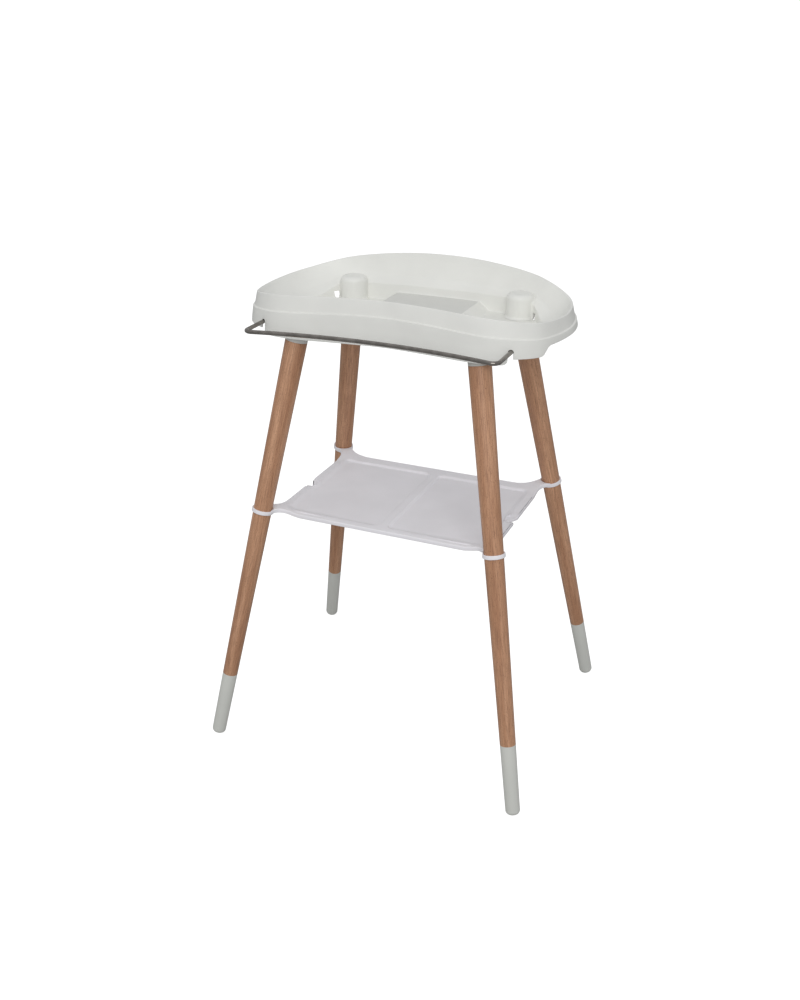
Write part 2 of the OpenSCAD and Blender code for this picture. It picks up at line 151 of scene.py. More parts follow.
class Finish:
    """A material with a Principled shader, and short ways to build its nodes."""

    def __init__(self, name, **constants):
        self.material = bpy.data.materials.new(name)
        self.material.use_nodes = True
        self.tree = self.material.node_tree
        self.shader = self.tree.nodes["Principled BSDF"]
        for socket, value in constants.items():
            self.shader.inputs[socket.replace("_", " ")].default_value = value
        self.place = self.node("ShaderNodeTexCoord").outputs["Object"]

    def node(self, kind, **inputs):
        """A node with these inputs, each a constant or another node's output."""
        made = self.tree.nodes.new(kind)
        for name, value in inputs.items():
            socket = made.inputs[name.replace("_", " ")]
            if isinstance(value, bpy.types.NodeSocket):
                self.tree.links.new(value, socket)
            else:
                socket.default_value = value
        return made

    def noise(self, size, stretch=(1, 1, 1), detail=3.0, shift=(0, 0, 0)):
        """Noise from 0 to 1 whose features are about size across, times stretch."""
        scale = [1 / (size * s) for s in stretch]
        mapping = self.node("ShaderNodeMapping", Vector=self.place, Scale=scale, Location=shift)
        made = self.node("ShaderNodeTexNoise", Vector=mapping.outputs[0], Scale=1.0, Detail=detail)
        return made.outputs["Fac"]

    def remap(self, value, low, high, to_low, to_high):
        made = self.node("ShaderNodeMapRange", Value=value, From_Min=low, From_Max=high,
                         To_Min=to_low, To_Max=to_high)
        return made.outputs["Result"]

    def maths(self, operation, first, second=0.0):
        made = self.tree.nodes.new("ShaderNodeMath")
        made.operation = operation
        for socket, value in zip(made.inputs, (first, second)):
            if isinstance(value, bpy.types.NodeSocket):
                self.tree.links.new(value, socket)
            else:
                socket.default_value = value
        return made.outputs[0]

    def mix(self, factor, first, second, blend="MIX"):
        """Two colours mixed by a factor, which is a number or an output."""
        made = self.tree.nodes.new("ShaderNodeMix")
        made.data_type = "RGBA"
        made.blend_type = blend
        for index, value in ((0, factor), (6, first), (7, second)):
            if isinstance(value, bpy.types.NodeSocket):
                self.tree.links.new(value, made.inputs[index])
            else:
                made.inputs[index].default_value = value
        return made.outputs[2]

    def feed(self, socket, value):
        self.tree.links.new(value, self.shader.inputs[socket])

    def bump(self, height, distance, strength=1.0):
        made = self.node("ShaderNodeBump", Height=height, Distance=distance, Strength=strength)
        self.feed("Normal", made.outputs[0])


# Moulded plastic: how dark its cloudiness and its painted shade get, and its grain
CLOUD_SHADE = 0.955
PAINTED_SHADE_FACTOR = 0.82
GRAIN_SIZE = 0.35 * MM
GRAIN_HEIGHT = 0.012 * MM


def moulded_plastic(name, colour, roughness, painted_shade_at=None):
    """Matt moulded plastic: a faint cloudiness, and the fine even grain of its mould.
    The last argument gives (half width, low z, high z) of a level area that gets painted shade, a
    darker colour."""
    made = Finish(name, Specular_IOR_Level=0.42)
    cloud = made.noise(90 * MM, detail=2.0)
    darker = [c * CLOUD_SHADE for c in colour[:3]] + [1]
    base = made.mix(made.remap(cloud, 0.35, 0.65, 0, 1), colour, darker)
    if painted_shade_at:
        # Painted shade: the level area is coloured darker to stand in for the shade it gets
        patch = [c * PAINTED_SHADE_FACTOR for c in colour[:3]] + [1]
        base = made.mix(painted_shade_mask(made, *painted_shade_at), base, patch)
    made.feed("Base Color", base)
    rub = made.noise(22 * MM, detail=4.0)
    made.feed("Roughness", made.remap(rub, 0.3, 0.7, roughness - 0.05, roughness + 0.06))
    made.bump(made.noise(GRAIN_SIZE, detail=2.0), GRAIN_HEIGHT)
    return made.material


# A face is level when its normal's Z is above this
LEVEL_LIMIT = 0.97


def painted_shade_mask(made, half_w, low_z, high_z):
    """Where shade is painted: 1 on level faces within half_w of the middle and between two
    heights, else 0.
    """
    geometry = made.node("ShaderNodeNewGeometry")
    place = made.node("ShaderNodeSeparateXYZ", Vector=made.place)
    facing = made.node("ShaderNodeSeparateXYZ", Vector=geometry.outputs["Normal"])
    inside = made.maths("LESS_THAN", made.maths("ABSOLUTE", place.outputs["X"]), half_w)
    above = made.maths("GREATER_THAN", place.outputs["Z"], low_z)
    below = made.maths("LESS_THAN", place.outputs["Z"], high_z)
    level = made.maths("GREATER_THAN", facing.outputs["Z"], LEVEL_LIMIT)
    heights = made.maths("MULTIPLY", above, below)
    return made.maths("MULTIPLY", made.maths("MULTIPLY", inside, level), heights)


def beech_wood(name, seed):
    """Lacquered beech with its grain along the piece's own Z: growth bands, fine fibres,
    short dark ray flecks and pores."""
    made = Finish(name, Specular_IOR_Level=0.45, Coat_Weight=0.12, Coat_Roughness=0.3)
    shift = (seed * 3.1, seed * 1.7, seed * 0.9)
    pale = linear(216, 167, 132)
    warm = linear(181, 132, 99)
    deep = linear(118, 78, 56)
    broad = made.noise(16 * MM, stretch=(1, 1, 16), detail=2.0, shift=shift)
    bands = made.noise(2.6 * MM, stretch=(1, 1, 60), detail=2.0, shift=shift)
    fibres = made.noise(0.55 * MM, stretch=(1, 1, 70), detail=3.0, shift=shift)
    flecks = made.noise(0.8 * MM, stretch=(1, 1, 5), detail=1.0, shift=shift)
    base = made.mix(made.remap(broad, 0.3, 0.7, 0.0, 1.0), warm, pale)
    base = made.mix(made.remap(bands, 0.46, 0.68, 0.0, 0.5), base, warm)
    base = made.mix(made.remap(fibres, 0.47, 0.68, 0.0, 0.72), base, deep)
    base = made.mix(made.remap(flecks, 0.62, 0.72, 0.0, 0.7), base, deep)
    made.feed("Base Color", base)
    made.feed("Roughness", made.remap(fibres, 0.3, 0.7, 0.36, 0.5))
    made.bump(made.maths("ADD", fibres, flecks), -0.02 * MM)
    return made.material


def drawn_steel(name, colour, roughness, brush=(1, 1, 1)):
    """Bare steel with faint drawing lines and a patchy polish."""
    made = Finish(name, Metallic=1.0)
    patch = made.noise(14 * MM, detail=3.0)
    lines = made.noise(0.25 * MM, stretch=brush, detail=2.0)
    darker = [c * 0.72 for c in colour[:3]] + [1]
    made.feed("Base Color", made.mix(made.remap(patch, 0.35, 0.65, 0, 1), colour, darker))
    made.feed("Roughness", made.remap(lines, 0.3, 0.7, roughness - 0.04, roughness + 0.08))
    made.bump(lines, 0.006 * MM)
    return made.material


def floor_finish():
    """A grey floor for light to bounce off, which the camera sees as white."""
    made = Finish("studio_floor", Specular_IOR_Level=0.1, Emission_Color=(1, 1, 1, 1))
    cloud = made.noise(1.5, detail=1.0)
    made.feed("Base Color", made.mix(cloud, linear(184, 184, 183), linear(190, 190, 189)))
    made.feed("Roughness", made.remap(cloud, 0, 1, 0.85, 0.95))
    seen = made.node("ShaderNodeLightPath").outputs["Is Camera Ray"]
    made.feed("Emission Strength", made.maths("MULTIPLY", seen, FLOOR_GLOW))
    return made.material


# The flat top of the basin's raised middle, where shade is painted as a darker colour: its half
# width, and heights just below and above it
PAINTED_SHADE_AREA = (91 * MM, 902.5 * MM, 905 * MM)
TRAY_COLOUR = linear(235, 235, 230)
SHELF_COLOUR = linear(247, 245, 249)
SLEEVE_COLOUR = linear(211, 212, 206)
# The tray's plastic has painted shade, a darker colour, on the level top of the basin's raised
# middle
tray_finish = moulded_plastic("tray_plastic", TRAY_COLOUR, 0.4, painted_shade_at=PAINTED_SHADE_AREA)
shelf_finish = moulded_plastic("shelf_plastic", SHELF_COLOUR, 0.52)
sleeve_finish = moulded_plastic("sleeve_plastic", SLEEVE_COLOUR, 0.38)
fitting_finish = moulded_plastic("fitting_plastic", linear(214, 213, 208), 0.5)
rail_finish = drawn_steel("rail_steel", linear(146, 141, 136), 0.12, brush=(12, 1, 1))
zinc_finish = drawn_steel("zinc_steel", linear(196, 198, 200), 0.36)
brass_finish = drawn_steel("nut_brass", linear(206, 176, 110), 0.34)
beech_finishes = {leg: beech_wood(f"beech_{leg}", seed) for seed, leg in enumerate(LEGS, 1)}


# ---------------------------------------------------------------- mesh tools

def add_object(name, shape, material, body="stand", replaces=(), place=None,
               crease=38):
    """A smooth-shaded piece from a bmesh, riding on a body; place is its own frame."""
    bmesh.ops.remove_doubles(shape, verts=shape.verts, dist=0.002 * MM)
    bmesh.ops.dissolve_degenerate(shape, edges=shape.edges, dist=0.001 * MM)
    bmesh.ops.recalc_face_normals(shape, faces=shape.faces)
    mesh = bpy.data.meshes.new(name)
    shape.to_mesh(mesh)
    shape.free()
    mesh.shade_smooth()
    mesh.set_sharp_from_angle(angle=radians(crease))
    mesh.materials.append(material)
    piece = bpy.data.objects.new(name, mesh)
    bpy.context.scene.collection.objects.link(piece)
    if place is not None:
        piece.matrix_world = place
    if body:
        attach(piece, body)
    if replaces:
        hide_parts(*replaces)
    return piece


def rounded(corners, steps=4, closed=True):
    """The points of an outline through corners (x, y, radius), with each corner of some
    radius turned into a smooth bend of steps + 1 points."""
    count = len(corners)
    made = []
    for i, (x, y, radius) in enumerate(corners):
        here = Vector((x, y))
        ends = not closed and i in (0, count - 1)
        if radius <= 0 or ends:
            made.append(here)
            continue
        back = Vector(corners[i - 1][:2]) - here
        ahead = Vector(corners[(i + 1) % count][:2]) - here
        half_angle = max(back.angle(ahead, pi) / 2, radians(1))
        reach = min(radius / tan(half_angle) if half_angle < pi / 2 - 1e-4 else radius,
                    0.48 * back.length, 0.48 * ahead.length)
        start = here + back.normalized() * reach
        end = here + ahead.normalized() * reach
        for k in range(steps + 1):
            t = k / steps
            made.append(start.lerp(here, t).lerp(here.lerp(end, t), t))
    return made


def arc(centre, radius, first, last, steps):
    return [Vector((centre[0] + radius * cos(first + (last - first) * k / steps),
                    centre[1] + radius * sin(first + (last - first) * k / steps)))
            for k in range(steps + 1)]


def band(shape, rings, wrap_rings=False, wrap_points=True):
    """Faces between rings of vertices that all have the same number of points. A ring of
    one vertex is a pole."""
    count = len(rings)
    for i in range(count if wrap_rings else count - 1):
        here, there = rings[i], rings[(i + 1) % count]
        size = max(len(here), len(there))
        for k in range(size if wrap_points else size - 1):
            n = (k + 1) % size
            corners = [here[k % len(here)], here[n % len(here)],
                       there[n % len(there)], there[k % len(there)]]
            corners = list(dict.fromkeys(corners))
            if len(corners) > 2:
                shape.faces.new(corners)


def lathe(shape, profile, sides=96):
    """Turns a profile of (radius, height) points about Z and returns its vertices."""
    rings = []
    for radius, height in profile:
        turns = 1 if radius < 1e-7 else sides
        rings.append([shape.verts.new((radius * cos(2 * pi * k / sides),
                                       radius * sin(2 * pi * k / sides), height))
                      for k in range(turns)])
    band(shape, rings)
    return [v for ring in rings for v in ring]


def rounded_block(shape, low, high, radius):
    """A box with all its edges rounded."""
    made = bmesh.ops.create_cube(shape, size=1.0)["verts"]
    low, high = Vector(low), Vector(high)
    middle, size = (low + high) / 2, high - low
    for v in made:
        v.co = middle + Vector([v.co[i] * size[i] for i in range(3)])
    edges = {e for v in made for e in v.link_edges}
    bmesh.ops.bevel(shape, geom=list(edges), offset=radius, segments=3, profile=0.5,
                    affect="EDGES")


def ease(t):
    t = min(max(t, 0.0), 1.0)
    return t * t * (3 - 2 * t)


# ---------------------------------------------------------------- the legs' axes

def cad_points(node):
    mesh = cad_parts[node].data
    points = np.zeros(len(mesh.vertices) * 3)
    mesh.vertices.foreach_get("co", points)
    return np.unique(points.reshape(-1, 3).round(6), axis=0)


class LegAxis:
    """The line that a leg, its sleeve, its plug and its socket are turned about. A place
    on it is given by its distance from the floor along the leg."""

    def __init__(self, leg):
        self.leg = leg
        points = cad_points(f"leg_{leg}")
        centre = points.mean(axis=0)
        up = np.linalg.svd(points - centre, full_matrices=False)[2][0]
        self.up = up * np.sign(up[2])
        self.foot = centre - self.up * (centre[2] / self.up[2])
        turn = Vector(self.up).to_track_quat("Z", "Y").to_matrix().to_4x4()
        self.frame = Matrix.Translation(Vector(self.foot)) @ turn
        along, radius = self.spread(f"leg_{leg}")
        self.shoulder = along.max()
        self.shoulder_r = radius[along > self.shoulder - 0.1 * MM].max()
        along, radius = self.spread(f"foot_sleeve_{leg}")
        self.tip = along.min()
        self.joint = along.max()
        self.joint_r = radius[along > self.joint - 0.1 * MM].max()

    def spread(self, node):
        """How far along the axis, and from it, each vertex of a CAD node is."""
        offset = cad_points(node) - self.foot
        along = offset @ self.up
        return along, np.linalg.norm(offset - np.outer(along, self.up), axis=1)

    def radius(self, s):
        """The leg's own radius at a distance s along it."""
        share = (s - self.joint) / (self.shoulder - self.joint)
        return self.joint_r + (self.shoulder_r - self.joint_r) * share

    def at_height(self, z):
        """The point of the axis at a height above the floor."""
        return Vector(self.foot + self.up * (z / self.up[2]))


axes = {leg: LegAxis(leg) for leg in LEGS}


# ---------------------------------------------------------------- legs and sleeves

SEAM_ROUND = 0.45 * MM
SHOULDER_ROUND = 1.4 * MM
SLEEVE_ROUND = 8 * MM


def make_leg(axis):
    """A turned tapered beech leg, from the seam with its sleeve to its top shoulder."""
    corners = [(0, axis.joint, 0), (axis.joint_r, axis.joint, SEAM_ROUND),
               (axis.shoulder_r, axis.shoulder, SHOULDER_ROUND), (0, axis.shoulder, 0)]
    shape = bmesh.new()
    lathe(shape, rounded(corners, steps=5, closed=False))
    add_object(f"beech_leg_{axis.leg}", shape, beech_finishes[axis.leg],
               replaces=[f"leg_{axis.leg}"], place=axis.frame, crease=60)


def make_sleeve(axis):
    """The moulded sleeve on a leg's foot, with its rounded tip on the floor."""
    bend_s = axis.tip + SLEEVE_ROUND
    centre_r = axis.radius(bend_s) - SLEEVE_ROUND
    profile = [(0, axis.tip)]
    for k in range(13):
        angle = -pi / 2 + pi / 2 * k / 12
        profile.append((centre_r + SLEEVE_ROUND * cos(angle), bend_s + SLEEVE_ROUND * sin(angle)))
    top = [(axis.radius(bend_s), bend_s, 0), (axis.joint_r, axis.joint, SEAM_ROUND),
           (axis.joint_r * 0.6, axis.joint, 0)]
    profile += [tuple(p) for p in rounded(top, steps=5, closed=False)[1:]]
    profile.append((0, axis.joint))
    shape = bmesh.new()
    lathe(shape, profile)
    add_object(f"sleeve_{axis.leg}", shape, sleeve_finish,
               replaces=[f"foot_sleeve_{axis.leg}"], place=axis.frame, crease=60)


# ---------------------------------------------------------------- the tray's lines

# The tray's plan at its ledge: points of the right half, from the middle of the front,
# round the end, to the middle of the back, in millimetres
HALF_PLAN = [(0, -133), (92, -141), (182, -152), (246, -140), (298, -94),
             (319, 10), (294, 102), (216, 159), (110, 178), (0, 183)]
SPAN_STEPS = 14
# The skirt's bottom edge: its heights, where it steps up, and how far its face leans
SKIRT_Z = 874 * MM
SKIRT_LEAN = 5 * MM
END_SKIRT_Z = 884 * MM
END_CUT_Z = 901 * MM
END_CUT_X = 298 * MM
REAR_CUT_X = 204 * MM
CUT_RUN = 10 * MM
# The ledge and the rim: their heights, their arch, the dip at the ends, the rise at the back
LEDGE_Z = 928.5 * MM
RIM_Z = 961 * MM
ARCH_R = 3.25
TRAY_FRONT = 152 * MM
REAR_RISE = 22 * MM
RISE_HALF_W = 280 * MM
RISE_Y = 90 * MM
END_DIP = 9 * MM
SOFTNESS = 0.01
# The crease round the basin, and how its wall reaches further in towards the ends
CREASE_Z = 920 * MM
CREASE_DROP = 22 * MM
END_FROM = 210 * MM
END_OVER = 80 * MM
END_INSET = 20 * MM
RIM_INSIDE = 12 * MM
CREASE_INSIDE = 42 * MM
# The basin floor, and its raised middle
FLOOR_Z = 887 * MM
STEP_Z = 904 * MM
STEP_HALF_W = 90 * MM
STEP_SLOPE_W = 22 * MM
PLATE_T = 3 * MM
STEP_BENDS = (3 * MM, 5 * MM)
# The floor plate starts this far inside the plan, where it overlaps the wall's foot
FLOOR_EDGE = 48 * MM

# The towel rail's rod, and the slots that its arms go into
RAIL_R = 4 * MM
RAIL_Z = 897 * MM
RAIL_X = 250 * MM
SLOT_HALF_W = RAIL_R + 0.7 * MM
# The arm slots are cut square to the front, in the middle of the skirt's thickness
SLOT_OFFSET = 4 * MM
SLOT_CORNER_R = 9 * MM


def plan_points():
    """The plan's points all round, anticlockwise from the middle of the front."""
    right = [Vector((x * MM, y * MM)) for x, y in HALF_PLAN]
    left = [Vector((-p.x, p.y)) for p in reversed(right[1:-1])]
    return right + left


PLAN = plan_points()


def plan_at(u):
    """The smooth closed plan curve at u, which counts the spans between its points."""
    n = len(PLAN)
    i = int(u) % n
    t = u - int(u)
    a, b, c, d = (PLAN[(i + k) % n] for k in (-1, 0, 1, 2))
    return 0.5 * (2 * b + (c - a) * t + (2 * a - 5 * b + 4 * c - d) * t * t
                  + (3 * b - a - 3 * c + d) * t ** 3)


def outward_at(u):
    """The plan's outward direction at u."""
    step = 0.02
    n = len(PLAN)
    along = plan_at((u + step) % n) - plan_at((u - step) % n)
    return Vector((along.y, -along.x)).normalized()


def arch(x):
    """How far the ledge and the rim have dropped at x, seen from the front."""
    return x * x / (2 * ARCH_R)


def ledge_line(x):
    """The ledge's height at x."""
    return LEDGE_Z - arch(x)


def soft_floor(t):
    """t where it is positive and 0 where it is negative, with a soft change between."""
    return (t + sqrt(t * t + SOFTNESS)) / 2


def rim_line(x, y):
    """The rim's height over the plan: it dips at the ends and rises at the back."""
    dip = END_DIP * max(0.0, 1 - (y / TRAY_FRONT) ** 2)
    rise = REAR_RISE * soft_floor(1 - (x / RISE_HALF_W) ** 2) * ease((y + RISE_Y) / (2 * RISE_Y))
    return RIM_Z - arch(x) - dip + rise


def end_share(x):
    """From 0 in the middle of the tray to 1 at its two ends."""
    return ease((abs(x) - END_FROM) / END_OVER)


def crease_line(x):
    """The height of the crease round the basin."""
    return CREASE_Z - CREASE_DROP * end_share(x)


def inset(x, offset):
    """An offset from the plan, with the basin's wall reaching further in at the ends."""
    share = max(0.0, (-offset - RIM_INSIDE) / (CREASE_INSIDE - RIM_INSIDE))
    return offset - END_INSET * end_share(x) * share


def skirt_bottom(x, y, slot):
    """The height of the skirt's bottom edge. slot is how far from the middle of an arm
    slot the place is, or None away from the slots."""
    out = abs(x)
    if y > 0:
        return SKIRT_Z + (END_CUT_Z - SKIRT_Z) * ease((out - REAR_CUT_X) / CUT_RUN + 0.5)
    if slot is not None and abs(slot) < SLOT_HALF_W:
        return RAIL_Z + sqrt(SLOT_HALF_W ** 2 - slot ** 2)
    if out > RAIL_X:
        return END_SKIRT_Z + (END_CUT_Z - END_SKIRT_Z) * ease((out - END_CUT_X) / CUT_RUN + 0.5)
    if slot is None:
        return SKIRT_Z
    # The skirt's corner beside the slot is rounded
    short = max(0.0, SLOT_CORNER_R + SLOT_HALF_W + slot)
    return SKIRT_Z + SLOT_CORNER_R - sqrt(max(0.0, SLOT_CORNER_R ** 2 - short ** 2))


def floor_profile():
    """The basin floor's section, from the middle of its raised part out to one side."""
    return rounded([(0, STEP_Z, 0), (STEP_HALF_W, STEP_Z, STEP_BENDS[0]),
                    (STEP_HALF_W + STEP_SLOPE_W, FLOOR_Z, STEP_BENDS[1]), (1, FLOOR_Z, 0)],
                   steps=6, closed=False)


FLOOR_PROFILE = floor_profile()


def floor_height(x):
    """The basin floor's height, over its raised middle and down its two slopes."""
    return float(np.interp(abs(x), [p.x for p in FLOOR_PROFILE], [p.y for p in FLOOR_PROFILE]))


# Places across an arm slot and beside its inner edge, in halves of its width. Each edge has
# one place just outside it and one just inside
SLOT_SPREAD = [-2.48, -2.1, -1.75, -1.45, -1.22, -1.08, -1.0001, -0.9999, -0.95, -0.8, -0.55,
               -0.2, 0.2, 0.55, 0.8, 0.95, 0.9999, 1.0001]
# The right slot lies between these places along the plan, and other stations keep clear of
# its places by SLOT_REACH
SLOT_SEARCH = (2.0, 4.5)
SLOT_REACH = 0.03


def find_slot_places():
    """Where along the plan each place across the two arm slots lies, as (u, distance from
    the slot's middle) pairs."""
    count = len(PLAN)
    found = []
    for share in SLOT_SPREAD:
        slot = SLOT_HALF_W * share
        low, high = SLOT_SEARCH
        for _ in range(40):
            middle = (low + high) / 2
            place = plan_at(middle) + outward_at(middle) * SLOT_OFFSET
            low, high = (middle, high) if place.x < RAIL_X + slot else (low, middle)
        found += [(low, slot), (count - low, slot)]
    return found


def tray_stations():
    """Places along the plan, as (u, distance from an arm slot's middle or None)."""
    slots = find_slot_places()
    regular = [i / SPAN_STEPS for i in range(len(PLAN) * SPAN_STEPS)]
    kept = [(u, None) for u in regular if all(abs(u - s) > SLOT_REACH for s, _ in slots)]
    return sorted(kept + slots, key=lambda station: station[0])


# The wall's section: (distance outside the plan, height, what it is measured from,
# rounding), in millimetres or, from the crease, in shares of the way up to the rim
WALL_SECTION = [
    (6, 0, "skirt", 1.0), (0.9, 0, "ledge", 1.0), (-2.4, 0.9, "ledge", 1.0),
    (-8.1, -0.1, "rim", 1.7), (-11.4, 0, "rim", 1.7), (-15, 0.8, "crease", 20),
    (-20.5, 0.55, "crease", 20), (-28.5, 0.24, "crease", 20), (-42, 0, "crease", 3.5),
    (-43, 0, "floor", 4.5), (-49.6, -0.02, "floor", 0), (-49.6, -3, "floor", 0),
    (-40, -3, "floor", 2), (-39, -0.02, "crease", 2), (-24.7, 0.23, "crease", 12),
    (-12.4, 0.74, "crease", 8), (-10.4, -3.2, "rim", 1), (-4.6, -1.6, "ledge", 1.5),
    (-2, -6.8, "ledge", 3), (3, 0, "skirt", 0.9)]


def wall_ring(u, slot):
    """The wall's section at one station, as points in space."""
    origin, outward = plan_at(u), outward_at(u)
    corners = []
    for offset, height, measure, radius in WALL_SECTION:
        offset = inset(origin.x, offset * MM)
        place = origin + outward * offset
        rim = rim_line(place.x, place.y)
        crease = crease_line(origin.x)
        z = {"skirt": skirt_bottom(origin.x, origin.y, slot),
             "ledge": ledge_line(place.x) + height * MM,
             "rim": rim + height * MM,
             "crease": crease + height * (rim - crease),
             "floor": floor_height(place.x) + height * MM}[measure]
        if measure == "skirt":
            # The skirt leans: its foot moves inwards as its bottom edge rises
            offset -= SKIRT_LEAN * (z - SKIRT_Z) / (LEDGE_Z - SKIRT_Z)
        corners.append((offset, z, radius * MM))
    return [Vector((*(origin + outward * p.x), p.y)) for p in rounded(corners, steps=4)]


def tray_wall(shape):
    """The closed band of skirt, ledge, rim and basin wall, all round the plan."""
    rings = [[shape.verts.new(p) for p in wall_ring(u, slot)] for u, slot in tray_stations()]
    band(shape, rings, wrap_rings=True)


# ---------------------------------------------------------------- basin floor

HAND_SLOT_AT = Vector((226 * MM, 107 * MM))
HAND_SLOT_L = 34 * MM
HAND_SLOT_W = 17 * MM
HAND_SLOT_TURN = radians(-36)
HAND_SLOT_TOP = 901 * MM
SLOT_EDGE_ROUND = 1.1 * MM
EDGE_STEPS = 1600
# The tray is widest at this y
WIDEST_Y = 10 * MM
COLUMN_STEPS = 40


def basin_edge(columns):
    """The front and back y of the basin floor at each x, and how far out it reaches."""
    curve = []
    for i in range(EDGE_STEPS):
        u = len(PLAN) * i / EDGE_STEPS
        origin = plan_at(u)
        curve.append(origin + outward_at(u) * inset(origin.x, -FLOOR_EDGE))
    front = sorted((p.x, p.y) for p in curve if p.y < WIDEST_Y)
    back = sorted((p.x, p.y) for p in curve if p.y >= WIDEST_Y)
    low = np.interp(columns, [p[0] for p in front], [p[1] for p in front])
    high = np.interp(columns, [p[0] for p in back], [p[1] for p in back])
    reach = min(front[-1][0], back[-1][0])
    return low, high, reach


def floor_columns():
    """The x of each line across the basin floor, close together where it bends."""
    reach = basin_edge([0])[2]
    half = {round(p.x, 6) for p in FLOOR_PROFILE if p.x < reach}
    half |= {round(reach * sin(pi / 2 * k / COLUMN_STEPS), 6)
             for k in range(1, COLUMN_STEPS + 1)}
    return sorted({-x for x in half} | half)


def basin_floor(shape):
    """The floor as a closed plate, with its raised middle."""
    columns = floor_columns()
    front, back, _ = basin_edge(columns)
    rings = []
    for x, low, high in zip(columns, front, back):
        z = floor_height(x)
        rings.append([shape.verts.new(p) for p in (
            (x, low, z), (x, high, z), (x, high, z - PLATE_T), (x, low, z - PLATE_T))])
    band(shape, rings)
    shape.faces.new(rings[0])
    shape.faces.new(rings[-1])


def slot_outline(half_length, half_width, steps=16):
    """A round-ended slot about the origin, as points."""
    made = []
    for end, first in ((1, -pi / 2), (-1, pi / 2)):
        for k in range(steps + 1):
            angle = first + pi * k / steps
            made.append(Vector((end * (half_length - half_width) + half_width * cos(angle),
                                half_width * sin(angle))))
    return made


def hand_slot_cutter(side):
    """A slot-shaped cutter, flared at the floor's underside to round the edge."""
    shape = bmesh.new()
    bottom = FLOOR_Z - PLATE_T
    levels = [(bottom - 2 * MM, 1), (bottom, 1), (bottom + SLOT_EDGE_ROUND * 0.3, 0.4),
              (bottom + SLOT_EDGE_ROUND, 0), (HAND_SLOT_TOP, 0)]
    turn = Matrix.Rotation(HAND_SLOT_TURN, 2)
    rings = []
    for z, flare in levels:
        grow = SLOT_EDGE_ROUND * flare
        ring = []
        for p in slot_outline(HAND_SLOT_L / 2 + grow, HAND_SLOT_W / 2 + grow):
            q = turn @ p + HAND_SLOT_AT
            ring.append(shape.verts.new((side * q.x, q.y, z)))
        rings.append(ring)
    band(shape, rings)
    shape.faces.new(rings[0])
    shape.faces.new(rings[-1])
    return add_object(f"hand_slot_cutter_{side}", shape, tray_finish, body=None)


def cut(piece, cutters):
    """Cuts the cutters out of a piece and removes them."""
    for cutter in cutters:
        modifier = piece.modifiers.new("cut", "BOOLEAN")
        modifier.operation = "DIFFERENCE"
        modifier.solver = "EXACT"
        modifier.object = cutter
    bpy.context.view_layer.update()
    evaluated = piece.evaluated_get(bpy.context.evaluated_depsgraph_get())
    mesh = bpy.data.meshes.new_from_object(evaluated)
    piece.modifiers.clear()
    piece.data = mesh
    for cutter in cutters:
        bpy.data.objects.remove(cutter)


def cut_basin():
    """The tray's wall and its basin floor, both with the hand slots cut through."""
    made = []
    for name, build in (("wall", tray_wall), ("floor_plate", basin_floor)):
        shape = bmesh.new()
        build(shape)
        piece = add_object(name, shape, tray_finish, body=None)
        cut(piece, [hand_slot_cutter(side) for _, side in SIDES])
        made.append(piece)
    return made


# ---------------------------------------------------------------- socket posts

POST_R = 27.8 * MM
POST_ROUND = 11 * MM
POST_TOP = 935 * MM
POST_MIDDLE = 898 * MM
POST_ROWS = 48
SOCKET_R = 22.4 * MM
SOCKET_END = 939 * MM
SOCKET_DEPTH = 70 * MM
POST_FILLET = 6 * MM
POST_SIDES = 128


def socket_bore(axis):
    """A cutter for the round socket that a leg's plug goes up into."""
    shape = bmesh.new()
    low = SOCKET_END - SOCKET_DEPTH
    lathe(shape, [(0, low), (SOCKET_R, low), (SOCKET_R, SOCKET_END), (0, SOCKET_END)])
    return add_object(f"bore_{axis.leg}", shape, tray_finish, body=None, place=axis.frame)


def socket_post(axis, walls):
    """The upright round-topped post over a leg. Its side swells smoothly into the walls
    and the floor round it."""
    base = FLOOR_Z - PLATE_T
    side_top = POST_TOP - POST_ROUND
    profile = [(0, base)]
    profile += [(POST_R, base + (side_top - base) * k / POST_ROWS) for k in range(POST_ROWS)]
    profile += [tuple(p) for p in arc((POST_R - POST_ROUND, side_top), POST_ROUND, 0, pi / 2, 14)]
    profile.append((0, POST_TOP))
    shape = bmesh.new()
    middle = axis.at_height(POST_MIDDLE)
    outside = 1 if middle.y > 0 else -1
    for v in lathe(shape, profile, sides=POST_SIDES):
        away = Vector((v.co.x, v.co.y, 0))
        v.co += Vector((middle.x, middle.y, 0))
        if away.length < POST_R * 0.7 or v.co.z < FLOOR_Z:
            continue
        gap = walls.find_nearest(v.co)[3]
        if gap < POST_FILLET:
            swell = POST_FILLET - sqrt(POST_FILLET ** 2 - (POST_FILLET - gap) ** 2)
            # The side that is inside the tray's wall stays as it is
            way = away.normalized()
            v.co += way * swell * ease(1 - 2 * way.y * outside)
    post = add_object(f"post_{axis.leg}", shape, tray_finish, body=None)
    cut(post, [socket_bore(axis)])
    return post


# ---------------------------------------------------------------- the whole tray

BOSS_TOP = 924 * MM
BOSS_BACK = -117.5 * MM
BOSS_ROUND = 1.2 * MM


def bearing_bosses(shape):
    """The blocks inside the skirt that the rail's bearings are screwed up to."""
    for side, _ in SIDES:
        low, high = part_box(f"rail_bearing_{side}")
        rounded_block(shape, (low.x, low.y, high.z), (high.x, BOSS_BACK, BOSS_TOP),
                      BOSS_ROUND)


def make_tray():
    """The whole moulding, as one piece."""
    shape = bmesh.new()
    basin = cut_basin()
    for piece in basin:
        shape.from_mesh(piece.data)
    walls = BVHTree.FromBMesh(shape)
    posts = [socket_post(axes[leg], walls) for leg in LEGS]
    for piece in posts:
        shape.from_mesh(piece.data)
    for piece in basin + posts:
        bpy.data.objects.remove(piece)
    bearing_bosses(shape)
    add_object("tray_moulding", shape, tray_finish, replaces=["tray"])


# ---------------------------------------------------------------- shelf

